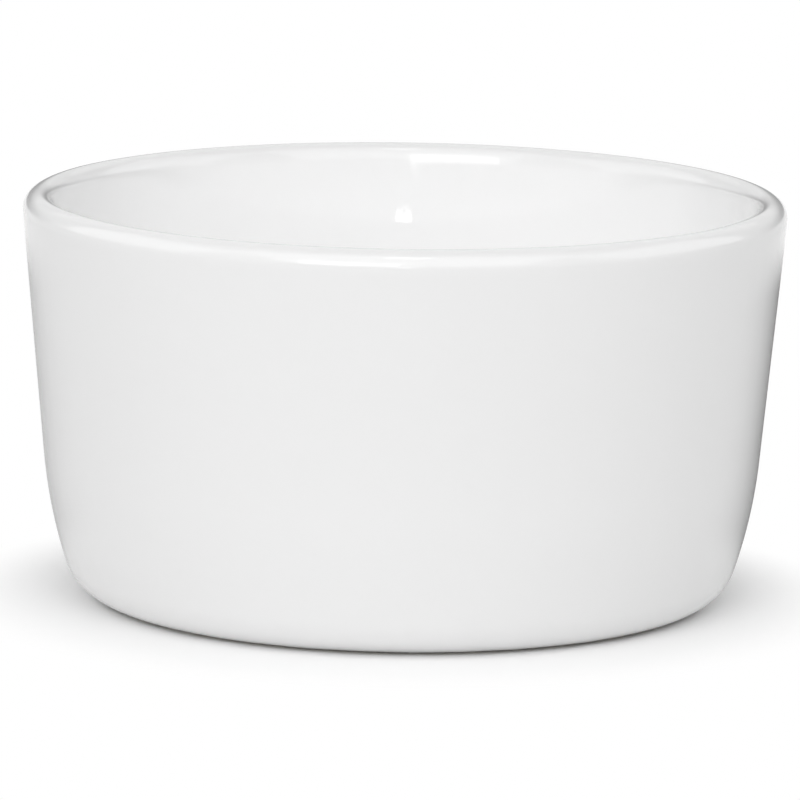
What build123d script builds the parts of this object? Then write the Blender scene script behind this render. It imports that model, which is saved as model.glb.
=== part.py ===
from build123d import *
import os
from math import cos, pi, radians, sin, tan

# Plain white ramekin: one fired porcelain piece with a gently tapered wall, a rounded lip, a soft
# heel and a shallow recess inside its foot ring, under a clear glossy glaze. Millimetres, +Z up.
# The origin is the centre of the foot, in the plane that the ramekin stands on.

# Overall size
rim_diameter = 90.0
height = 48.0

# Wall and lip. A slope is in degrees from upright, leaning outwards as the wall rises. The rim's
# thickness lies between the lines of the two walls, and the lip's crest at a share of it.
outer_slope = 5.3
inner_slope = 7.5
rim_thickness = 3.5
lip_crest_share = 0.64

# Heel: the outer wall is straight down to the belly, then curves in to the heel round, which
# stands in from the wall's line by the belly's inset.
belly_height = 17.0
belly_inset = 1.3
heel_round = 6.0

# Floor, foot ring and the recess inside it
floor_thickness = 4.5
floor_round = 7.0
foot_width = 2.8
foot_inner_round = 0.6
recess_depth = 1.5
recess_slope = 30.0
recess_round = 1.2

# Glaze, and how far it is wiped back on each side of the foot ring before firing
glaze_thickness = 0.3
outer_wipe = 1.5
inner_wipe = 0.4

# How far a section runs past the axis before it is trimmed there
overrun = 5.0

# Lip: the outer and inner rounds meet at the crest, where both are level. Each round is tangent
# to its wall and to the rim's plane, whose corner is as far from the crest as its side is wide.
outer_side = rim_thickness * lip_crest_share
inner_side = rim_thickness - outer_side
lip_outer_round = outer_side / tan(pi / 4 + radians(outer_slope) / 2)
lip_inner_round = inner_side / tan(pi / 4 - radians(inner_slope) / 2)
crest_radius = rim_diameter / 2 - lip_outer_round
crest = (crest_radius, height)
outer_corner_radius = crest_radius + outer_side
inner_corner_radius = crest_radius - inner_side


def outer_wall_radius(level):
    """Radius at a height of the straight line that the outer wall follows."""
    return outer_corner_radius - (height - level) * tan(radians(outer_slope))


def inner_wall_radius(level):
    """Radius at a height of the straight line that the inner wall follows."""
    return inner_corner_radius - (height - level) * tan(radians(inner_slope))


outer_wall_top = (
    crest_radius + lip_outer_round * cos(radians(outer_slope)),
    height - lip_outer_round - lip_outer_round * sin(radians(outer_slope)),
)
inner_wall_top = (
    crest_radius - lip_inner_round * cos(radians(inner_slope)),
    height - lip_inner_round + lip_inner_round * sin(radians(inner_slope)),
)

# Heel and belly: the belly arc is tangent to the wall's line at its upper end and to the heel
# round at its lower end, where both centres and the meeting point lie on one line
heel_centre_radius = outer_wall_radius(heel_round) - (heel_round + belly_inset) / cos(radians(outer_slope))
belly_top_radius = outer_wall_radius(belly_height)
belly_top = (belly_top_radius, belly_height)
centre_to_belly_squared = (belly_top_radius - heel_centre_radius) ** 2 + (belly_height - heel_round) ** 2
belly_round = (centre_to_belly_squared - heel_round**2) / (2 * belly_inset)
belly_centre_radius = belly_top_radius - belly_round * cos(radians(outer_slope))
belly_centre_level = belly_height + belly_round * sin(radians(outer_slope))
heel_reach_share = heel_round / (belly_round - heel_round)
heel_top = (
    heel_centre_radius + (heel_centre_radius - belly_centre_radius) * heel_reach_share,
    heel_round + (heel_round - belly_centre_level) * heel_reach_share,
)

# Floor, foot ring and recess
floor_level = recess_depth + floor_thickness
foot_outer_radius = heel_centre_radius
foot_inner_radius = foot_outer_radius - foot_width
recess_radius = foot_inner_radius - recess_depth * tan(radians(recess_slope))

# Bare ring: from a little inside the foot ring to a little up the heel
bare_outer_radius = foot_outer_radius + outer_wipe
bare_inner_radius = foot_inner_radius - inner_wipe

# Finished outline, glaze included, on one side of the axis and a little past it
with BuildSketch(Plane.XZ) as finished_section:
    with BuildLine():
        outer_wall = Line(belly_top, outer_wall_top)
        outer_lip = RadiusArc(outer_wall_top, crest, -lip_outer_round)
        inner_lip = RadiusArc(crest, inner_wall_top, -lip_inner_round)
        bowl = FilletPolyline(
            inner_wall_top,
            (inner_wall_radius(floor_level), floor_level),
            (-overrun, floor_level),
            radius=floor_round,
        )
        belly = RadiusArc(belly_top, heel_top, belly_round)
        heel = RadiusArc(heel_top, (foot_outer_radius, 0), heel_round)
        foot = FilletPolyline(
            heel @ 1,
            (foot_inner_radius, 0),
            (recess_radius, recess_depth),
            (-overrun, recess_depth),
            radius=[foot_inner_round, recess_round],
        )
        past_axis = Line(foot @ 1, bowl @ 1)
    make_face()

# The bare ring of the finished outline, where no glaze lies over the clay
with BuildSketch(Plane.XZ) as bare_section:
    add(finished_section.sketch_local)
    with Locations(((bare_inner_radius + bare_outer_radius) / 2, recess_depth / 2)):
        Rectangle(bare_outer_radius - bare_inner_radius, recess_depth, mode=Mode.INTERSECT)

# Clay: one glaze thickness inside the finished outline, and the whole of it at the bare ring
with BuildSketch(Plane.XZ) as clay_section:
    add(finished_section.sketch_local)
    offset(amount=-glaze_thickness)
    add(bare_section.sketch_local)
    split(bisect_by=Plane.YZ)

# Glaze: what the finished outline has and the clay lacks, one face on each side of the bare ring
with BuildSketch(Plane.XZ) as glaze_section:
    add(finished_section.sketch_local)
    split(bisect_by=Plane.YZ)
    add(clay_section.sketch_local, mode=Mode.SUBTRACT)
bowl_skin, underside_skin = glaze_section.sketch.faces().sort_by(SortBy.AREA, reverse=True)

# Porcelain body: floor, wall, lip and foot in one fired piece
with BuildPart() as porcelain_body:
    revolve(clay_section.sketch, axis=Axis.Z)
porcelain_body.part.label = "porcelain_body"

# Glaze over the outside, the lip and the inside of the bowl
with BuildPart() as bowl_glaze:
    revolve(bowl_skin, axis=Axis.Z)
bowl_glaze.part.label = "bowl_glaze"

# Glaze on the underside, inside the foot ring
with BuildPart() as underside_glaze:
    revolve(underside_skin, axis=Axis.Z)
underside_glaze.part.label = "underside_glaze"

os.makedirs("parts", exist_ok=True)
export_step(porcelain_body.part, "parts/porcelain_body.step")
export_step(bowl_glaze.part, "parts/bowl_glaze.step")
export_step(underside_glaze.part, "parts/underside_glaze.step")

print(f"lip rounds {lip_outer_round:.2f} and {lip_inner_round:.2f}, belly arc {belly_round:.1f}")
print(f"foot ring radius {foot_inner_radius:.2f} to {foot_outer_radius:.2f}, floor at {floor_level:.2f}")
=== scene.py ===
"""Looks of a plain white glazed porcelain ramekin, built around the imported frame.

It is laid out as an add-on and run as a script: three pieces, the stage and a small panel.
Lengths are metres in the frame's own axes, +Z up, with the foot standing on z = 0.
"""

import math

import bpy
import numpy as np
from bpy.props import FloatProperty, FloatVectorProperty, IntProperty, PointerProperty
from mathutils import Matrix, Vector


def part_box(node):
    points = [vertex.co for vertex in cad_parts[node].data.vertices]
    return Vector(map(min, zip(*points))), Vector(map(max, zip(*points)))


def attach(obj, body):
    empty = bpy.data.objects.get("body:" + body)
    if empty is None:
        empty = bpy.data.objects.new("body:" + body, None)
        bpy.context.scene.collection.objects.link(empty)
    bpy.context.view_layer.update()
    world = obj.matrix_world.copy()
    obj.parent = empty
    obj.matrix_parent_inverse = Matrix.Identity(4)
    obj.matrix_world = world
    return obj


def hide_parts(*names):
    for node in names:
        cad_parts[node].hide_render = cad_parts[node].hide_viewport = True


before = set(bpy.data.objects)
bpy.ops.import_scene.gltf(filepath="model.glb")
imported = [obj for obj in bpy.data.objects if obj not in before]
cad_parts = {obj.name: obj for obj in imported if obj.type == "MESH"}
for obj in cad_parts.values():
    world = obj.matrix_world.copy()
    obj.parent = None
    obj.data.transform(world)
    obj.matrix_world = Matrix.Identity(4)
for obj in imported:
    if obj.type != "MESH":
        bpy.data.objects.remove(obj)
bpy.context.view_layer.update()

bl_info = {
    "name": "Porcelain Ramekin",
    "version": (1, 0, 0),
    "blender": (4, 5, 0),
    "location": "View3D > Sidebar > Ramekin",
    "description": "Makes a glazed porcelain ramekin and its studio stage",
    "category": "Add Mesh",
}

MM = 0.001
GLAZE_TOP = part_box("bowl_glaze")[1]
FOOT_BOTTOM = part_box("porcelain_body")[0]

# Steps of each piece's grid on the stretches of the outline, and on the rolled edge of its glaze
BODY_ROWS = {
    "floor": 10, "floor_round": 14, "lip_inside": 44, "lip_outside": 14, "belly": 40, "outer_line": 24,
    "heel": 16, "foot": 8, "foot_edge": 8, "inner_line": 6, "recess_round": 12, "underside": 10,
}
BOWL_ROWS = {
    "floor": 12, "floor_round": 16, "lip_inside": 48, "lip_outside": 20, "belly": 42, "outer_line": 22,
}
UNDERSIDE_ROWS = 39
UNDERSIDE_CROWDING = 1.6
BEAD_ROWS = 10
OUTLINE_POINTS = {"flat": 300, "wide_round": 200, "lip_round": 100, "small": 60}
SAMPLE_STEP = 0.05 * MM
SAME_PLACE = 0.000001 * MM

# The glaze's edge: how far its roll reaches, how far its foot and its waver stay from the wiped line
BEAD_WIDTH = 0.5 * MM
LINE_MARGIN = 0.25 * MM
UNDERSIDE_WAVER_SHARE = 1 / 3
SEAT_MARGIN = 0.02 * MM

# Slow waves: their seed and number, lobes round the axis, length along the outline, fade at the axis
WAVE_SEED = 4
WAVE_COUNT = 9
WAVE_LOBES = (2, 15)
WAVE_LENGTHS = (14 * MM, 45 * MM)
EDGE_LOBES = (2, 40)
FADE_REACH = 15 * MM

# How thick the glaze looks: how far a bend tells. Painted light inside the bowl: how much it adds,
# and over what length it runs out at the lip's crest
BUILD_REACH = 2.4 * MM
BUILD_SPREAD = 0.8 * MM
BELL_REACH = 3
PAINTED_INSIDE_LIGHT = 0.5
PAINTED_LIGHT_FADE = 1.5 * MM

# Glaze and clay: width and depth of their fine unevenness, and how they take the light
PEEL_WIDTH = 1.5 * MM
PEEL_DEPTH = 0.0015 * MM
PEEL_DETAIL = 1.0
MIST_WIDTH = 9 * MM
MIST_DETAIL = 4.0
GLAZE_IOR = 1.52
GLAZE_ROUGHNESS = (0.012, 0.025)
GRIT_WIDTH = 0.25 * MM
GRIT_DEPTH = 0.02 * MM
GRIT_DETAIL = 3.0
GRIT_STRENGTH = 0.8
RUB_WIDTH = 2.2 * MM
RUB_DETAIL = 5.0
RUB_COARSENESS = 0.7
RUB_LEVELS = (0.52, 0.72)
RUB_SHARE = 0.7
CLAY_IOR = 1.5
CLAY_ROUGHNESS = 0.82

# The photograph's frame, and where the ramekin stands in it
PHOTO_WIDTH = 800
PHOTO_MIDDLE = (402.5, 394.2)
PHOTO_RIM_PIXELS = 380.6
SENSOR_WIDTH = 36.0
CLIP_RANGE = (0.05, 20)

# The floor, and how far from the axis it begins and ends to go over to plain white
FLOOR_RINGS = np.concatenate([[0], np.geomspace(0.02, 4.0, 24)])
FLOOR_THICKNESS = 1 * MM
FLOOR_COLUMNS = 96
WHITE_FROM = 34 * MM
WHITE_AT = 55 * MM

# The card collar: its radii, foot and top, how much it covers at shares of its height, the heights
# between which its grey changes to the back card's, and where it fades out towards the camera
CARD_INSIDE = 37 * MM
CARD_RADIUS = 62 * MM
CARD_LIFT = 0.4 * MM
CARD_TOP = 120 * MM
CARD_COVER = {0.0: 1.0, 0.26: 1.0, 0.31: 0.0, 0.385: 0.0, 0.4: 1.0, 0.43: 1.0, 0.48: 0.0}
CARD_CHANGE = (36 * MM, 46 * MM)
CARD_SIDE_FADE = (-8 * MM, 30 * MM)
CARD_FACES = 96

# Each lamp: degrees to the right of the camera's side, degrees above the horizon, metres, and its size
LAMPS = {
    "front_softbox": ((0, 57, 1.2), (1.8, 0.9)),
    "low_softbox": ((0, 25, 1.3), (2.0, 0.6)),
    "left_softbox": ((-95, 30, 1.2), (1.2, 0.9)),
    "right_softbox": ((95, 30, 1.2), (1.2, 0.9)),
    "back_softbox": ((180, 45, 1.2), (1.4, 0.9)),
    "window": ((-16.6, 19.2, 1.9), (1.0, 0.76)),
    "lip_lamp": ((2, 66, 1.0), (0.16, 0.16)),
    "bowl_lamp": ((0.3, 5.15, 1.81), (0.17, 0.13)),
}


def linear(colour):
    """Turns an sRGB hex colour into linear red, green, blue and an alpha of one."""
    shares = np.array([int(colour[i:i + 2], 16) for i in (1, 3, 5)]) / 255
    low, high = shares / 12.92, ((shares + 0.055) / 1.055) ** 2.4
    return (*np.where(shares <= 0.04045, low, high).tolist(), 1.0)


class RamekinSizes(bpy.types.PropertyGroup):
    """Sizes of the finished ramekin, glaze included."""

    rim_radius: FloatProperty(
        name="Rim radius", description="Widest radius, on the lip's outer round",
        default=GLAZE_TOP.x, unit="LENGTH", precision=5)
    height: FloatProperty(
        name="Height", description="From the foot to the lip's crest",
        default=GLAZE_TOP.z - FOOT_BOTTOM.z, unit="LENGTH", precision=5)
    outer_slope: FloatProperty(
        name="Outer slope", description="How far the outer wall leans from upright",
        default=math.radians(5.3), subtype="ANGLE")
    inner_slope: FloatProperty(
        name="Inner slope", description="How far the inner wall leans from upright",
        default=math.radians(7.5), subtype="ANGLE")
    rim_thickness: FloatProperty(
        name="Rim thickness", description="Between the lines of the two walls, in the rim's plane",
        default=3.5 * MM, unit="LENGTH", precision=5)
    lip_crest_share: FloatProperty(
        name="Lip crest share", description="How far in the crest lies, as a share of the rim's thickness",
        default=0.64, subtype="FACTOR", min=0, max=1)
    belly_height: FloatProperty(
        name="Belly height", description="Where the straight outer wall ends",
        default=17 * MM, unit="LENGTH", precision=5)
    belly_inset: FloatProperty(
        name="Belly inset", description="How far the heel round stands in from the wall's line",
        default=1.3 * MM, unit="LENGTH", precision=5)
    heel_round: FloatProperty(
        name="Heel round", description="Radius of the outer corner at the foot",
        default=6 * MM, unit="LENGTH", precision=5)
    floor_level: FloatProperty(
        name="Floor level", description="Height of the bowl's floor above the foot",
        default=6 * MM, unit="LENGTH", precision=5)
    floor_round: FloatProperty(
        name="Floor round", description="Radius of the inner corner at the floor",
        default=7 * MM, unit="LENGTH", precision=5)
    foot_width: FloatProperty(
        name="Foot width", description="Width of the ring it stands on, its inner round included",
        default=2.8 * MM, unit="LENGTH", precision=5)
    foot_inner_round: FloatProperty(
        name="Foot inner round", description="Radius of the foot ring's inner edge",
        default=0.6 * MM, unit="LENGTH", precision=5)
    recess_depth: FloatProperty(
        name="Recess depth", description="Depth of the hollow inside the foot ring",
        default=1.5 * MM, unit="LENGTH", precision=5)
    recess_slope: FloatProperty(
        name="Recess slope", description="How far the recess wall leans from upright",
        default=math.radians(30), subtype="ANGLE")
    recess_round: FloatProperty(
        name="Recess round", description="Radius of the recess's upper corner",
        default=1.2 * MM, unit="LENGTH", precision=5)
    glaze_thickness: FloatProperty(
        name="Glaze thickness", description="Thickness of the fired glaze",
        default=0.3 * MM, unit="LENGTH", precision=5)
    outer_wipe: FloatProperty(
        name="Outer wipe", description="Bare clay between the foot ring and the glaze outside",
        default=1.5 * MM, unit="LENGTH", precision=5)
    inner_wipe: FloatProperty(
        name="Inner wipe", description="Bare clay between the foot ring and the glaze underneath",
        default=0.4 * MM, unit="LENGTH", precision=5)
    columns: IntProperty(
        name="Columns", description="Faces round the ramekin", default=288, min=48)


class RamekinFinish(bpy.types.PropertyGroup):
    """Colours and unevenness of the glaze and the bare clay."""

    glaze: FloatVectorProperty(
        name="Glaze", description="White of the clay seen through the clear glaze",
        default=linear("#EFEFEF"), subtype="COLOR", size=4)
    thin_glaze: FloatVectorProperty(
        name="Thin glaze", description="Where the glaze runs thin on the lip",
        default=linear("#F0F0F0"), subtype="COLOR", size=4)
    # Painted light: the whole inside of the bowl takes this lighter white, as if more light fell there
    pooled_glaze_and_lit_inside: FloatVectorProperty(
        name="Pooled glaze", description="Where the glaze is thick, inside the bowl and most in its corner",
        default=linear("#FBFBFB"), subtype="COLOR", size=4)
    clay: FloatVectorProperty(
        name="Bare clay", description="Fired porcelain without glaze",
        default=linear("#E6E1D7"), subtype="COLOR", size=4)
    clay_scuff: FloatVectorProperty(
        name="Scuffed clay", description="Grey rub marks on the foot ring",
        default=linear("#B9B4AB"), subtype="COLOR", size=4)
    waviness: FloatProperty(
        name="Waviness", description="Depth of the slow waves in the glaze",
        default=0.03 * MM, unit="LENGTH", precision=6)
    glaze_line_waver: FloatProperty(
        name="Glaze line waver", description="How far the wiped edge of the glaze wanders",
        default=0.22 * MM, unit="LENGTH", precision=6)


class RamekinStage(bpy.types.PropertyGroup):
    """The camera, the floor and the studio light."""

    camera_rise: FloatProperty(
        name="Camera rise", description="The camera's height above the horizon, seen from the ramekin",
        default=math.radians(9.88), subtype="ANGLE")
    camera_roll: FloatProperty(
        name="Camera roll", description="How far the ramekin's right side sinks in the picture",
        default=math.radians(0.85), subtype="ANGLE")
    camera_distance: FloatProperty(
        name="Camera distance", description="From the ramekin's middle",
        default=0.9, unit="LENGTH")
    room_light: FloatProperty(
        name="Room light", description="Strength of the even light from all round", default=0.1)
    front_softbox: FloatProperty(
        name="Front softbox", description="Brightness of the softbox above and in front", default=1.2)
    low_softbox: FloatProperty(
        name="Low softbox", description="Brightness of the softbox low in front", default=1.2)
    left_softbox: FloatProperty(
        name="Left softbox", description="Brightness of the softbox on the left", default=1.05)
    right_softbox: FloatProperty(
        name="Right softbox", description="Brightness of the softbox on the right", default=1.05)
    back_softbox: FloatProperty(
        name="Back softbox", description="Brightness of the softbox behind", default=0.3)
    window: FloatProperty(
        name="Window", description="Brightness of the window at the front left", default=2.5)
    lip_lamp: FloatProperty(
        name="Lip lamp", description="Brightness of the small lamp that the lip mirrors", default=4.0)
    bowl_lamp: FloatProperty(
        name="Bowl lamp", description="Brightness of the small low lamp that the bowl mirrors", default=4.5)
    floor: FloatVectorProperty(
        name="Floor", description="Matt white paper", default=linear("#FAFAFA"), subtype="COLOR", size=4)
    # The cards' greys are painted light: the card glows them, lit by no lamp, the left one lighter
    left_card: FloatVectorProperty(
        name="Left card", description="Grey that the glaze mirrors at its left edge",
        default=linear("#C6C6C6"), subtype="COLOR", size=4)
    right_card: FloatVectorProperty(
        name="Right card", description="Grey that the glaze mirrors at its right edge",
        default=linear("#6C6C6C"), subtype="COLOR", size=4)
    back_card: FloatVectorProperty(
        name="Back card", description="Grey that the glaze mirrors along the far side of the lip",
        default=linear("#848484"), subtype="COLOR", size=4)


def straight(start, end, steps):
    """Points on the straight line from start to end, as rows of radius and height."""
    shares = np.linspace(0, 1, steps)[:, None]
    return np.array(start) + shares * (np.array(end) - np.array(start))


def round_off(centre, radius, start_turn, end_turn, steps):
    """Points on a round: its centre plus its radius along a direction that turns evenly.

    A turn is the direction's angle from outwards, in radians, and grows towards upwards.
    """
    turns = np.linspace(start_turn, end_turn, steps)
    return np.array(centre) + radius * np.stack([np.cos(turns), np.sin(turns)], axis=1)


def finished_outline(sizes):
    """The finished outline, from the axis on the bowl's floor to the axis on the underside.

    It is a chain of straight lines and rounds, each tangent to the next: floor, floor round, inner
    wall, inner and outer lip rounds, outer wall, belly, heel round, foot ring, recess. Returned are
    its distances, its points, its outward normals, the distance at which each stretch ends, and the
    inner and outer radius of the foot ring.
    """
    top, out_lean, in_lean = sizes.height, sizes.outer_slope, sizes.inner_slope
    outer_side = sizes.rim_thickness * sizes.lip_crest_share
    inner_side = sizes.rim_thickness - outer_side
    outer_round = outer_side / math.tan(math.pi / 4 + out_lean / 2)
    inner_round = inner_side / math.tan(math.pi / 4 - in_lean / 2)
    crest = sizes.rim_radius - outer_round

    def outer_wall(level):
        return crest + outer_side - (top - level) * math.tan(out_lean)

    def inner_wall(level):
        return crest - inner_side - (top - level) * math.tan(in_lean)

    heel = sizes.heel_round
    heel_axis = outer_wall(heel) - (heel + sizes.belly_inset) / math.cos(out_lean)
    belly_top = np.array((outer_wall(sizes.belly_height), sizes.belly_height))
    reach = belly_top - (heel_axis, heel)
    belly_round = (reach @ reach - heel**2) / (2 * sizes.belly_inset)
    belly_centre = belly_top - belly_round * np.array((math.cos(out_lean), -math.sin(out_lean)))
    heel_turn = math.atan2(heel - belly_centre[1], heel_axis - belly_centre[0])

    corner = sizes.floor_level + sizes.floor_round
    corner_axis = inner_wall(corner) - sizes.floor_round / math.cos(in_lean)
    foot_edge = sizes.foot_inner_round
    foot_inside = heel_axis - sizes.foot_width
    edge_turn = (math.pi / 2 - sizes.recess_slope) / 2
    edge_axis = foot_inside + foot_edge * math.tan(edge_turn)
    recess_inside = foot_inside - sizes.recess_depth * math.tan(sizes.recess_slope)
    recess_axis = recess_inside - sizes.recess_round * math.tan(edge_turn)
    recess_top = sizes.recess_depth
    down, up, level_in = -math.pi / 2, math.pi / 2, math.pi

    flat, wide, lip, small = OUTLINE_POINTS.values()
    stretches = {
        "floor": straight((0, sizes.floor_level), (corner_axis, sizes.floor_level), flat),
        "floor_round": round_off((corner_axis, corner), sizes.floor_round, down, -in_lean, wide),
        "lip_inside": round_off((crest, top - inner_round), inner_round, level_in - in_lean, up, lip),
        "lip_outside": round_off((crest, top - outer_round), outer_round, up, -out_lean, lip),
        "belly": round_off(belly_centre, belly_round, -out_lean, heel_turn, wide),
        "heel": round_off((heel_axis, heel), heel, heel_turn, down, wide),
        "foot": straight((heel_axis, 0), (edge_axis, 0), small),
        "foot_edge": round_off((edge_axis, foot_edge), foot_edge, down, down - 2 * edge_turn, small),
        "recess_round": round_off((recess_axis, recess_top - sizes.recess_round), sizes.recess_round,
                                  up - 2 * edge_turn, up, small),
        "underside": straight((recess_axis, recess_top), (0, recess_top), flat),
    }
    points = np.concatenate(list(stretches.values()))
    steps = np.linalg.norm(np.diff(points, axis=0), axis=1)
    keep = np.concatenate([[True], steps > SAME_PLACE])
    distances = np.concatenate([[0], np.cumsum(steps)])
    ends = dict(zip(stretches, distances[np.cumsum([len(s) for s in stretches.values()]) - 1]))
    distances, points = distances[keep], points[keep]
    tangents = np.gradient(points, distances, axis=0)
    tangents /= np.linalg.norm(tangents, axis=1)[:, None]
    normals = np.stack([-tangents[:, 1], tangents[:, 0]], axis=1)
    return distances, points, normals, ends, (foot_inside, heel_axis)


class Outline:
    """The finished outline, with what the pieces ask of it at any distance along it."""

    def __init__(self, sizes):
        self.distances, self.points, self.normals, self.ends, foot = finished_outline(sizes)
        self.total = self.distances[-1]
        self.outer_line = self.crossing(foot[1] + sizes.outer_wipe, self.ends["belly"], self.ends["heel"])
        under_edge = foot[0] - sizes.inner_wipe - sizes.glaze_thickness * math.cos(sizes.recess_slope)
        self.inner_line = self.crossing(under_edge, self.ends["foot"], self.ends["recess_round"])

    def crossing(self, radius, start, end):
        """Distance between start and end at which the outline crosses a radius on its way in."""
        inside = (self.distances >= start) & (self.distances <= end)
        return float(np.interp(-radius, -self.points[inside, 0], self.distances[inside]))

    def place(self, distance, depth):
        """Radius and height of points that lie a depth under the outline, at distances along it."""
        columns = (*self.points.T, *self.normals.T)
        radius, height, out, rise = (np.interp(distance, self.distances, column) for column in columns)
        length = np.hypot(out, rise)
        return radius - depth * out / length, height - depth * rise / length

    def hollow(self, distance, reach):
        """How sharply the outline turns inwards, per metre: plus in a corner, minus over an edge.

        It is the turning of the tangent along the outline, averaged over a bell of width reach.
        """
        even = np.arange(0, self.total, SAMPLE_STEP)
        out, rise = (np.interp(even, self.distances, column) for column in self.normals.T)
        turning = np.gradient(np.unwrap(np.arctan2(rise, out)), even)
        offsets = np.arange(-BELL_REACH * reach, BELL_REACH * reach + SAMPLE_STEP, SAMPLE_STEP)
        bell = np.exp(-(offsets / reach) ** 2 / 2)
        return np.interp(distance, even, np.convolve(turning, bell / bell.sum(), "same"))

    def glaze_build_and_painted_light(self, distance):
        """How thick the glaze looks: nought on an edge, half on the outer wall, one in a corner.

        The bend is a reach times the outline's hollow. Half the tanh of the bend times its own size is
        added, and a share of painted light over the whole inside of the bowl, which runs out towards the
        lip's crest and paints the inside lighter, as if more light fell there.
        """
        bend = BUILD_REACH * self.hollow(distance, BUILD_SPREAD)
        # Painted light: the whole inside of the bowl is painted lighter, as if more light fell there
        inside_light_share = PAINTED_INSIDE_LIGHT * smooth((self.ends["lip_inside"] - distance) / PAINTED_LIGHT_FADE)
        return np.clip(0.5 + 0.5 * np.tanh(bend * np.abs(bend)) + inside_light_share, 0, 1)


def smooth(share):
    """Rises smoothly from nought to one as share does, and is level outside that."""
    share = np.clip(share, 0, 1)
    return share * share * (3 - 2 * share)


def slow_waves(distance, turn, fade):
    """Uneven surface between nought and one: a few seeded cosine waves added up.

    Each wave has a whole number of lobes round the axis and its own length along the outline.
    They fade towards the axis, where lobes would meet in a point.
    """
    seeds = np.random.default_rng(WAVE_SEED)
    lobes = seeds.integers(*WAVE_LOBES, WAVE_COUNT)
    lengths = seeds.uniform(*WAVE_LENGTHS, WAVE_COUNT)
    starts = seeds.uniform(0, 2 * math.pi, WAVE_COUNT)
    phase = lobes * turn[..., None] + 2 * math.pi * distance[..., None] / lengths + starts
    return 0.5 + fade * np.cos(phase).sum(-1) / (2 * WAVE_COUNT)


def drawn_back(turn, seed, waver):
    """How far the wiped edge of the glaze stands back from its line at each turn round the axis.

    It is nought to twice the waver: a few seeded cosine waves added up and squeezed by tanh.
    """
    seeds = np.random.default_rng(seed)
    lobes = seeds.integers(*EDGE_LOBES, WAVE_COUNT)
    starts = seeds.uniform(0, 2 * math.pi, WAVE_COUNT)
    total = np.cos(lobes * turn[..., None] + starts).sum(-1)
    return waver * (1 + np.tanh(total / math.sqrt(WAVE_COUNT)))


def clay_depth(outline, sizes, distance):
    """How far the clay lies under the finished outline: a glaze's thickness, but nothing at the foot.

    It rises to the outline over the bare clay on each side of the foot ring.
    """
    foot_start, foot_end = outline.ends["heel"], outline.ends["foot"]
    last_glaze = outline.outer_line + LINE_MARGIN
    outside = 1 - smooth((distance - last_glaze) / (foot_start - last_glaze))
    inside = smooth((distance - foot_end) / (outline.inner_line - LINE_MARGIN - foot_end))
    return sizes.glaze_thickness * np.where(distance < (foot_start + foot_end) / 2, outside, inside)


def rows_between(outline, counts):
    """Distances of the rows of a grid: count steps on each named stretch, from one to the next."""
    rows, start = [0.0], 0.0
    for name, count in counts.items():
        end = {**outline.ends, "outer_line": outline.outer_line, "inner_line": outline.inner_line}[name]
        rows += np.linspace(start, end, count + 1)[1:].tolist()
        start = end
    return np.array(rows)


def lathe(name, radius, height, attributes=None):
    """Closes a grid of radii and heights round the Z axis into a mesh object.

    A column holds one turn round the axis. The first and the last row lie on the axis, and each
    becomes one point. Rows run so that their left side, seen along them, is the outside.
    """
    rows, columns = radius.shape
    turns = np.arange(columns) * 2 * math.pi / columns
    grid = np.stack([radius * np.cos(turns), radius * np.sin(turns), height], axis=-1)
    points = np.concatenate([grid[:1, 0], grid[1:-1].reshape(-1, 3), grid[-1:, 0]])
    row, column = np.meshgrid(np.arange(rows - 3), np.arange(columns), indexing="ij")
    here = 1 + row * columns + column
    beside = 1 + row * columns + (column + 1) % columns
    quads = np.stack([here, here + columns, beside + columns, beside], axis=-1).reshape(-1, 4)
    around = np.arange(columns)
    ahead = (around + 1) % columns
    last = len(points) - 1
    first_fan = np.stack([np.zeros(columns, int), 1 + around, 1 + ahead], axis=-1)
    last_fan = np.stack([last - columns + around, np.full(columns, last), last - columns + ahead], axis=-1)
    mesh = bpy.data.meshes.new(name)
    mesh.from_pydata(points.tolist(), [], first_fan.tolist() + quads.tolist() + last_fan.tolist())
    for label, values in (attributes or {}).items():
        values = np.concatenate([values[:1, 0], values[1:-1].ravel(), values[-1:, 0]])
        mesh.attributes.new(label, "FLOAT", "POINT").data.foreach_set("value", values.astype(np.float32))
    mesh.shade_smooth()
    piece = bpy.data.objects.new(name, mesh)
    bpy.context.scene.collection.objects.link(piece)
    return piece


def add_node(tree, kind, values=None, links=None):
    """Adds a node, sets its settings and input values, and links its inputs to other nodes' outputs.

    Inputs and outputs go by name, or by number where several of a node's have the same name.
    """
    node = tree.nodes.new(kind)
    for name, value in (values or {}).items():
        if isinstance(name, str) and hasattr(node, name):
            setattr(node, name, value)
        else:
            node.inputs[name].default_value = value
    for name, (source, output) in (links or {}).items():
        tree.links.new(source.outputs[output], node.inputs[name])
    return node


def new_material(name):
    """A material with an empty node tree, and that tree."""
    material = bpy.data.materials.new(name)
    material.use_nodes = True
    material.node_tree.nodes.clear()
    return material, material.node_tree


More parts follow.
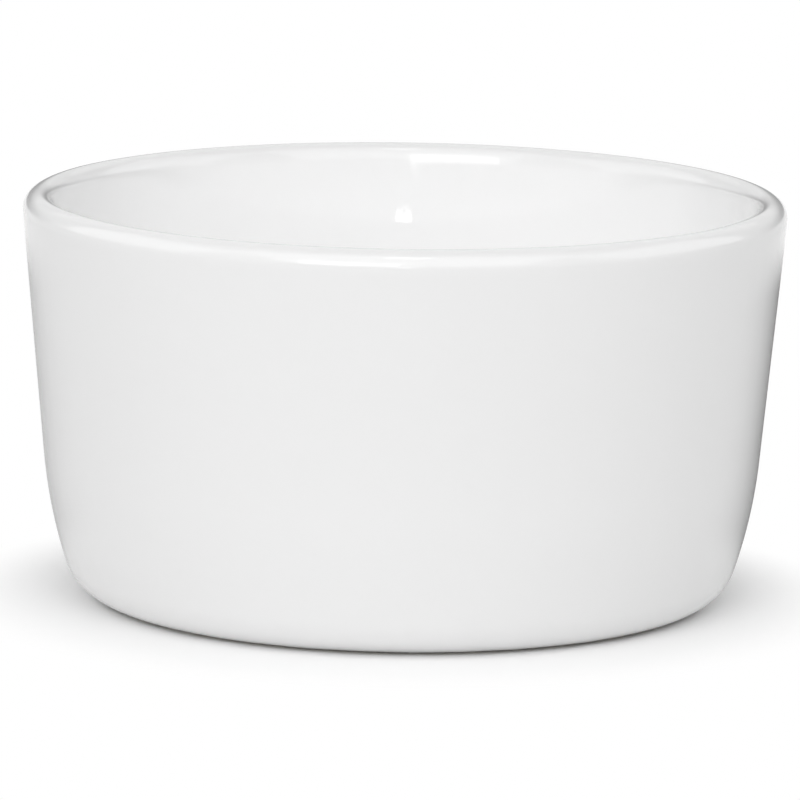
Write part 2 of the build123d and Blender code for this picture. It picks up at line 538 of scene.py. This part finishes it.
def clear_glaze_with_painted_lit_inside(finish):
    """Clear glossy glaze, fired over white porcelain.

    Molten glass levels itself, so it is nearly mirror smooth, with a faint orange peel about a
    millimetre and a half across. The white comes from the clay under it. It is painted brighter over
    the whole inside of the bowl than on the outside and the lip, as painted light, as if more light
    fell inside; in the bowl's corner the brighter white also stands for glaze lying thick.
    """
    material, tree = new_material("clear_glaze_with_painted_lit_inside")
    place = add_node(tree, "ShaderNodeTexCoord")
    build = add_node(tree, "ShaderNodeAttribute", {"attribute_name": "glaze_build_and_painted_light"})
    # Thin white on edges, pooled white in corners, and painted light: the whole inside paints lighter
    tone = add_node(tree, "ShaderNodeValToRGB", links={"Fac": (build, "Fac")})
    tone.color_ramp.elements[0].color = finish.thin_glaze
    tone.color_ramp.elements[1].color = finish.pooled_glaze_and_lit_inside
    tone.color_ramp.elements.new(0.5).color = finish.glaze
    peel = add_node(tree, "ShaderNodeTexNoise", {"Scale": 1 / PEEL_WIDTH, "Detail": PEEL_DETAIL},
                    {"Vector": (place, "Object")})
    bump = add_node(tree, "ShaderNodeBump", {"Strength": 1.0, "Distance": PEEL_DEPTH},
                    {"Height": (peel, "Fac")})
    mist = add_node(tree, "ShaderNodeTexNoise", {"Scale": 1 / MIST_WIDTH, "Detail": MIST_DETAIL},
                    {"Vector": (place, "Object")})
    gloss = add_node(tree, "ShaderNodeMapRange", {
        "To Min": GLAZE_ROUGHNESS[0], "To Max": GLAZE_ROUGHNESS[1],
    }, {"Value": (mist, "Fac")})
    shader = add_node(tree, "ShaderNodeBsdfPrincipled", {"IOR": GLAZE_IOR}, {
        "Base Color": (tone, "Color"), "Roughness": (gloss, "Result"), "Normal": (bump, "Normal")})
    add_node(tree, "ShaderNodeOutputMaterial", links={"Surface": (shader, "BSDF")})
    return material


def bare_fired_clay(finish):
    """Porcelain fired without glaze, wiped clean before the kiln and rubbed by use.

    It is matt and faintly warm, with a grit of about a quarter of a millimetre, and grey rub marks
    where it has slid on trays and shelves.
    """
    material, tree = new_material("bare_fired_clay")
    place = add_node(tree, "ShaderNodeTexCoord")
    grit = add_node(tree, "ShaderNodeTexNoise", {"Scale": 1 / GRIT_WIDTH, "Detail": GRIT_DETAIL},
                    {"Vector": (place, "Object")})
    rubs = add_node(tree, "ShaderNodeTexNoise", {
        "Scale": 1 / RUB_WIDTH, "Detail": RUB_DETAIL, "Roughness": RUB_COARSENESS,
    }, {"Vector": (place, "Object")})
    rubbed = add_node(tree, "ShaderNodeMapRange", {
        "From Min": RUB_LEVELS[0], "From Max": RUB_LEVELS[1], "To Max": RUB_SHARE}, {"Value": (rubs, "Fac")})
    colour = add_node(tree, "ShaderNodeMix", {"data_type": "RGBA", 6: finish.clay, 7: finish.clay_scuff},
                      {"Factor": (rubbed, "Result")})
    bump = add_node(tree, "ShaderNodeBump", {"Strength": GRIT_STRENGTH, "Distance": GRIT_DEPTH},
                    {"Height": (grit, "Fac")})
    shader = add_node(tree, "ShaderNodeBsdfPrincipled", {"IOR": CLAY_IOR, "Roughness": CLAY_ROUGHNESS},
                      {"Base Color": (colour, 2), "Normal": (bump, "Normal")})
    add_node(tree, "ShaderNodeOutputMaterial", links={"Surface": (shader, "BSDF")})
    return material


def finish_piece(piece, node, material):
    """Gives a new piece its material, and ties it to the frame in place of a node."""
    low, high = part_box(node)
    corners = np.array([corner[:] for corner in piece.bound_box])
    proud = max((np.array(low) - corners.min(0)).max(), (corners.max(0) - np.array(high)).max())
    if proud > SEAT_MARGIN:
        raise RuntimeError(f"{piece.name} stands {proud / MM:.3f} mm proud of {node}")
    piece.data.materials.append(material)
    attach(piece, "root")
    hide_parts(node)


def turns_of(columns):
    """Even turns round the axis, as a grid of one row."""
    return np.arange(columns)[None, :] * 2 * math.pi / columns


def glaze_coat(name, node, sizes, finish, outline, seen, share, from_axis, seen_first):
    """A coat of glaze: its seen face, and the hidden one that lies on the clay.

    Its depth under the outline is the clay's, less its own thickness, which is a share of the full
    one, plus slow waves in proportion to that share.
    """
    turns = turns_of(sizes.columns)
    thickness = sizes.glaze_thickness * share
    waves = finish.waviness * slow_waves(seen, turns * np.ones_like(seen), smooth(from_axis / FADE_REACH))
    seen_depth = clay_depth(outline, sizes, seen) - thickness + waves * thickness / sizes.glaze_thickness
    hidden = seen[-2::-1] if seen_first else seen[:0:-1]
    hidden_depth = clay_depth(outline, sizes, hidden)
    order = 1 if seen_first else -1
    distance = np.concatenate([seen, hidden][::order])
    depth = np.concatenate([seen_depth, hidden_depth][::order])
    radius, height = outline.place(distance, depth)
    piece = lathe(name, radius, height, {"glaze_build_and_painted_light": outline.glaze_build_and_painted_light(distance)})
    shared = bpy.data.materials.get("clear_glaze_with_painted_lit_inside")
    finish_piece(piece, node, shared or clear_glaze_with_painted_lit_inside(finish))


class RAMEKIN_OT_porcelain_body(bpy.types.Operator):
    """Make the fired clay body, which shows at the bare foot ring"""

    bl_idname = "ramekin.porcelain_body"
    bl_label = "Porcelain Body"

    def execute(self, context):
        sizes, finish = context.scene.ramekin_sizes, context.scene.ramekin_finish
        outline = Outline(sizes)
        rows = rows_between(outline, BODY_ROWS)
        radius, height = outline.place(rows, clay_depth(outline, sizes, rows))
        around = np.ones((1, sizes.columns))
        piece = lathe("fired_body", radius[:, None] * around, height[:, None] * around)
        finish_piece(piece, "porcelain_body", bare_fired_clay(finish))
        return {"FINISHED"}


class RAMEKIN_OT_bowl_glaze(bpy.types.Operator):
    """Make the glaze over the outside, the lip and the inside of the bowl"""

    bl_idname = "ramekin.bowl_glaze"
    bl_label = "Bowl Glaze"

    def execute(self, context):
        sizes, finish = context.scene.ramekin_sizes, context.scene.ramekin_finish
        outline = Outline(sizes)
        turns = turns_of(sizes.columns)
        rows = rows_between(outline, BOWL_ROWS)
        rows = rows[rows < outline.outer_line - BEAD_WIDTH][:, None]
        edge = outline.outer_line - drawn_back(turns, WAVE_SEED + 1, finish.glaze_line_waver)
        pulled = smooth((rows - outline.ends["belly"]) / (outline.outer_line - outline.ends["belly"]))
        body_rows = rows + pulled * (edge - outline.outer_line)
        bead_turn = np.linspace(math.pi / 2, 0, BEAD_ROWS)[:, None]
        bead_rows = edge - BEAD_WIDTH * (1 - np.cos(bead_turn))
        bead_share = np.sin(bead_turn) * np.ones_like(turns)
        seen = np.concatenate([body_rows, bead_rows])
        share = np.concatenate([np.ones_like(body_rows), bead_share])
        glaze_coat("bowl_glaze_coat", "bowl_glaze", sizes, finish, outline, seen, share, seen, True)
        return {"FINISHED"}


class RAMEKIN_OT_underside_glaze(bpy.types.Operator):
    """Make the glaze in the hollow inside the foot ring"""

    bl_idname = "ramekin.underside_glaze"
    bl_label = "Underside Glaze"

    def execute(self, context):
        sizes, finish = context.scene.ramekin_sizes, context.scene.ramekin_finish
        outline = Outline(sizes)
        turns = turns_of(sizes.columns)
        waver = finish.glaze_line_waver * UNDERSIDE_WAVER_SHARE
        edge = outline.inner_line + drawn_back(turns, WAVE_SEED + 2, waver)
        bead_turn = np.linspace(0, math.pi / 2, BEAD_ROWS)[:, None]
        bead_rows = edge + BEAD_WIDTH * (1 - np.cos(bead_turn))
        bead_share = np.sin(bead_turn) * np.ones_like(turns)
        shares = np.linspace(0, 1, UNDERSIDE_ROWS + 1)[1:, None] ** UNDERSIDE_CROWDING
        disc_rows = bead_rows[-1:] + shares * (outline.total - bead_rows[-1:])
        seen = np.concatenate([bead_rows, disc_rows])
        share = np.concatenate([bead_share, np.ones_like(disc_rows)])
        glaze_coat("underside_glaze_coat", "underside_glaze", sizes, finish, outline, seen, share,
                   outline.total - seen, False)
        return {"FINISHED"}


def soft_box(name, place, size, aim, brightness):
    """A rectangular lamp that faces a point. Its power is pi times its area times its brightness.

    Its place is degrees to the right of the camera's side, degrees above the horizon, and metres.
    """
    turn, rise, reach = math.radians(place[0]), math.radians(place[1]), place[2]
    lamp = bpy.data.lights.new(name, "AREA")
    lamp.shape, lamp.size, lamp.size_y = "RECTANGLE", *size
    lamp.energy = math.pi * size[0] * size[1] * brightness
    placed = bpy.data.objects.new(name, lamp)
    way = Vector((math.sin(turn) * math.cos(rise), -math.cos(turn) * math.cos(rise), math.sin(rise)))
    turned = way.to_track_quat("Z", "Y").to_matrix().to_4x4()
    placed.matrix_world = Matrix.Translation(aim + way * reach) @ turned
    placed.visible_camera = False
    bpy.context.scene.collection.objects.link(placed)


def place_camera(stage, sizes):
    """The photograph's camera: a long lens a little above the rim, level but for a slight roll.

    Its axis is turned off the ramekin's middle by the pixels between that and the picture's centre.
    """
    camera = bpy.data.cameras.new("camera")
    camera.sensor_width = SENSOR_WIDTH
    pixels_per_metre = PHOTO_RIM_PIXELS / sizes.rim_radius
    camera.lens = pixels_per_metre * stage.camera_distance / PHOTO_WIDTH * SENSOR_WIDTH
    camera.clip_start, camera.clip_end = CLIP_RANGE
    rise, roll = stage.camera_rise, stage.camera_roll
    back = Vector((0, -math.cos(rise), math.sin(rise)))
    level_up = Vector((0, math.sin(rise), math.cos(rise)))
    right = Vector((1, 0, 0)) * math.cos(roll) + level_up * math.sin(roll)
    up = level_up * math.cos(roll) - Vector((1, 0, 0)) * math.sin(roll)
    middle = Vector((0, 0, sizes.height / 2))
    across, below = (PHOTO_MIDDLE[0] - PHOTO_WIDTH / 2), (PHOTO_MIDDLE[1] - PHOTO_WIDTH / 2)
    eye = middle + back * stage.camera_distance
    aim = middle - right * across / pixels_per_metre + up * below / pixels_per_metre
    ahead = (aim - eye).normalized()
    right = (right - ahead * right.dot(ahead)).normalized()
    placed = bpy.data.objects.new("camera", camera)
    turned = Matrix((right, right.cross(ahead), -ahead)).transposed().to_4x4()
    placed.matrix_world = Matrix.Translation(eye) @ turned
    bpy.context.scene.collection.objects.link(placed)
    bpy.context.scene.camera = placed


def seen_directly(tree):
    """One for a ray from the camera, or off or through something glossy; nought for other light."""
    path = add_node(tree, "ShaderNodeLightPath")
    either = add_node(tree, "ShaderNodeMath", {"operation": "MAXIMUM"},
                      {0: (path, "Is Camera Ray"), 1: (path, "Is Glossy Ray")})
    return add_node(tree, "ShaderNodeMath", {"operation": "MAXIMUM"},
                    {0: (either, 0), 1: (path, "Is Transmission Ray")})


def white_paper_floor(stage):
    """Matt white paper, which goes over to plain white away from the foot and its shadow."""
    material, tree = new_material("matt_white_paper")
    place = add_node(tree, "ShaderNodeTexCoord")
    away = add_node(tree, "ShaderNodeVectorMath", {"operation": "LENGTH"}, {0: (place, "Object")})
    far = add_node(tree, "ShaderNodeMapRange", {
        "interpolation_type": "SMOOTHSTEP", "From Min": WHITE_FROM, "From Max": WHITE_AT,
    }, {"Value": (away, "Value")})
    share = add_node(tree, "ShaderNodeMath", {"operation": "MULTIPLY"},
                     {0: (far, "Result"), 1: (seen_directly(tree), 0)})
    paper = add_node(tree, "ShaderNodeBsdfDiffuse", {"Color": stage.floor})
    plain = add_node(tree, "ShaderNodeEmission", {"Color": linear("#FFFFFF"), "Strength": 1.0})
    mixed = add_node(tree, "ShaderNodeMixShader", links={"Fac": (share, 0), 1: (paper, 0), 2: (plain, 0)})
    add_node(tree, "ShaderNodeOutputMaterial", links={"Surface": (mixed, "Shader")})
    return material


def studio_world(stage):
    """Even room light, seen as plain white by the camera and in reflections."""
    world = bpy.data.worlds.new("studio")
    world.use_nodes = True
    tree = world.node_tree
    tree.nodes.clear()
    strength = add_node(tree, "ShaderNodeMix", {"A": stage.room_light, "B": 1.0},
                        {"Factor": (seen_directly(tree), 0)})
    light = add_node(tree, "ShaderNodeBackground", {"Color": linear("#FFFFFF")},
                     {"Strength": (strength, "Result")})
    add_node(tree, "ShaderNodeOutputWorld", links={"Surface": (light, "Background")})
    bpy.context.scene.world = world


def glowing_grey_card(stage):
    """Grey card that glows, lit by no lamp, and fades out towards the camera. Its glow is painted
    light: lighter on the left, as if lit from that side.

    By height it covers, leaves a gap for the light on the inside of the bowl, and covers again in a
    narrow strip, which is of one grey all round.
    """
    material, tree = new_material("glowing_grey_card")
    place = add_node(tree, "ShaderNodeTexCoord")
    axes = add_node(tree, "ShaderNodeSeparateXYZ", links={"Vector": (place, "Object")})
    rightwards = add_node(tree, "ShaderNodeMapRange", {"From Min": -CARD_RADIUS, "From Max": CARD_RADIUS},
                          {"Value": (axes, "X")})
    low = add_node(tree, "ShaderNodeMix", {"data_type": "RGBA", 6: stage.left_card, 7: stage.right_card},
                   {"Factor": (rightwards, "Result")})
    higher = add_node(tree, "ShaderNodeMapRange", {"From Min": CARD_CHANGE[0], "From Max": CARD_CHANGE[1]},
                      {"Value": (axes, "Z")})
    grey = add_node(tree, "ShaderNodeMix", {"data_type": "RGBA", 7: stage.back_card},
                    {"Factor": (higher, "Result"), 6: (low, 2)})
    # Painted light: the card glows its grey, lit by no lamp
    card = add_node(tree, "ShaderNodeEmission", links={"Color": (grey, 2)})
    rise = add_node(tree, "ShaderNodeMapRange", {"From Max": CARD_TOP}, {"Value": (axes, "Z")})
    cover = add_node(tree, "ShaderNodeValToRGB", links={"Fac": (rise, "Result")})
    stops = cover.color_ramp.elements
    for level, amount in CARD_COVER.items():
        stop = stops[0] if level == 0 else stops.new(level)
        stop.color = (amount, amount, amount, 1)
    stops.remove(stops[-1])
    behind = add_node(tree, "ShaderNodeMapRange", {
        "interpolation_type": "SMOOTHSTEP", "From Min": CARD_SIDE_FADE[0], "From Max": CARD_SIDE_FADE[1],
    }, {"Value": (axes, "Y")})
    share = add_node(tree, "ShaderNodeMath", {"operation": "MULTIPLY"},
                     {0: (cover, "Color"), 1: (behind, 0)})
    clear = add_node(tree, "ShaderNodeBsdfTransparent")
    faded = add_node(tree, "ShaderNodeMixShader", links={"Fac": (share, 0), 1: (clear, 0), 2: (card, 0)})
    add_node(tree, "ShaderNodeOutputMaterial", links={"Surface": (faded, "Shader")})
    return material


def card_collar(stage):
    """A collar of grey card behind the ramekin, which only its reflections see.

    It lies flat from near the foot outwards and then stands up, a profile of three points turned round the
    axis. The glaze mirrors its grey glow at its edges as a painted reflection, and these edges then stand
    out from the white behind them.
    """
    turns = turns_of(CARD_FACES)
    radius = np.array([[CARD_INSIDE], [CARD_RADIUS], [CARD_RADIUS]])
    height = np.array([[CARD_LIFT], [CARD_LIFT], [CARD_TOP]]) * np.ones_like(turns)
    points = np.stack([radius * np.cos(turns), radius * np.sin(turns), height], axis=-1).reshape(-1, 3)
    row, column = np.meshgrid(np.arange(2), np.arange(CARD_FACES), indexing="ij")
    here, beside = row * CARD_FACES + column, row * CARD_FACES + (column + 1) % CARD_FACES
    faces = np.stack([here, here + CARD_FACES, beside + CARD_FACES, beside], axis=-1).reshape(-1, 4)
    mesh = bpy.data.meshes.new("card_collar")
    mesh.from_pydata(points.tolist(), [], faces.tolist())
    mesh.materials.append(glowing_grey_card(stage))
    collar = bpy.data.objects.new("card_collar", mesh)
    bpy.context.scene.collection.objects.link(collar)
    collar.visible_camera = collar.visible_diffuse = False
    collar.visible_transmission = collar.visible_shadow = False


class RAMEKIN_OT_stage(bpy.types.Operator):
    """Make the camera, the floor and the studio light"""

    bl_idname = "ramekin.stage"
    bl_label = "Stage"

    def execute(self, context):
        stage, sizes = context.scene.ramekin_stage, context.scene.ramekin_sizes
        place_camera(stage, sizes)
        radius = np.concatenate([FLOOR_RINGS, FLOOR_RINGS[::-1]])[:, None] * np.ones((1, FLOOR_COLUMNS))
        height = np.where(np.arange(len(radius)) < len(FLOOR_RINGS), 0, -FLOOR_THICKNESS)[:, None]
        floor = lathe("floor", radius, height * np.ones_like(radius))
        floor.data.materials.append(white_paper_floor(stage))
        studio_world(stage)
        card_collar(stage)
        middle = Vector((0, 0, sizes.height / 2))
        for name, (place, size) in LAMPS.items():
            soft_box(name, place, size, middle, getattr(stage, name))
        context.scene.view_settings.view_transform = "Standard"
        return {"FINISHED"}


class RAMEKIN_PT_panel(bpy.types.Panel):
    """Lists the ramekin's pieces and the sizes and colours they are made from"""

    bl_idname = "RAMEKIN_PT_panel"
    bl_label = "Ramekin"
    bl_space_type = "VIEW_3D"
    bl_region_type = "UI"
    bl_category = "Ramekin"

    def draw(self, context):
        for operator in STEPS:
            self.layout.operator(operator.bl_idname)
        for group in (getattr(context.scene, name) for name in GROUPS):
            box = self.layout.box()
            for name in group.__annotations__:
                box.prop(group, name)


GROUPS = {"ramekin_sizes": RamekinSizes, "ramekin_finish": RamekinFinish, "ramekin_stage": RamekinStage}
STEPS = (RAMEKIN_OT_porcelain_body, RAMEKIN_OT_bowl_glaze, RAMEKIN_OT_underside_glaze, RAMEKIN_OT_stage)


def register():
    for group in (*GROUPS.values(), *STEPS, RAMEKIN_PT_panel):
        bpy.utils.register_class(group)
    for name, group in GROUPS.items():
        setattr(bpy.types.Scene, name, PointerProperty(type=group))


def unregister():
    for name in GROUPS:
        delattr(bpy.types.Scene, name)
    for group in (RAMEKIN_PT_panel, *reversed(STEPS), *GROUPS.values()):
        bpy.utils.unregister_class(group)


def main():
    """Makes the pieces and the stage."""
    register()
    bpy.ops.ramekin.porcelain_body()
    bpy.ops.ramekin.bowl_glaze()
    bpy.ops.ramekin.underside_glaze()
    bpy.ops.ramekin.stage()


if __name__ == "__main__":
    main()
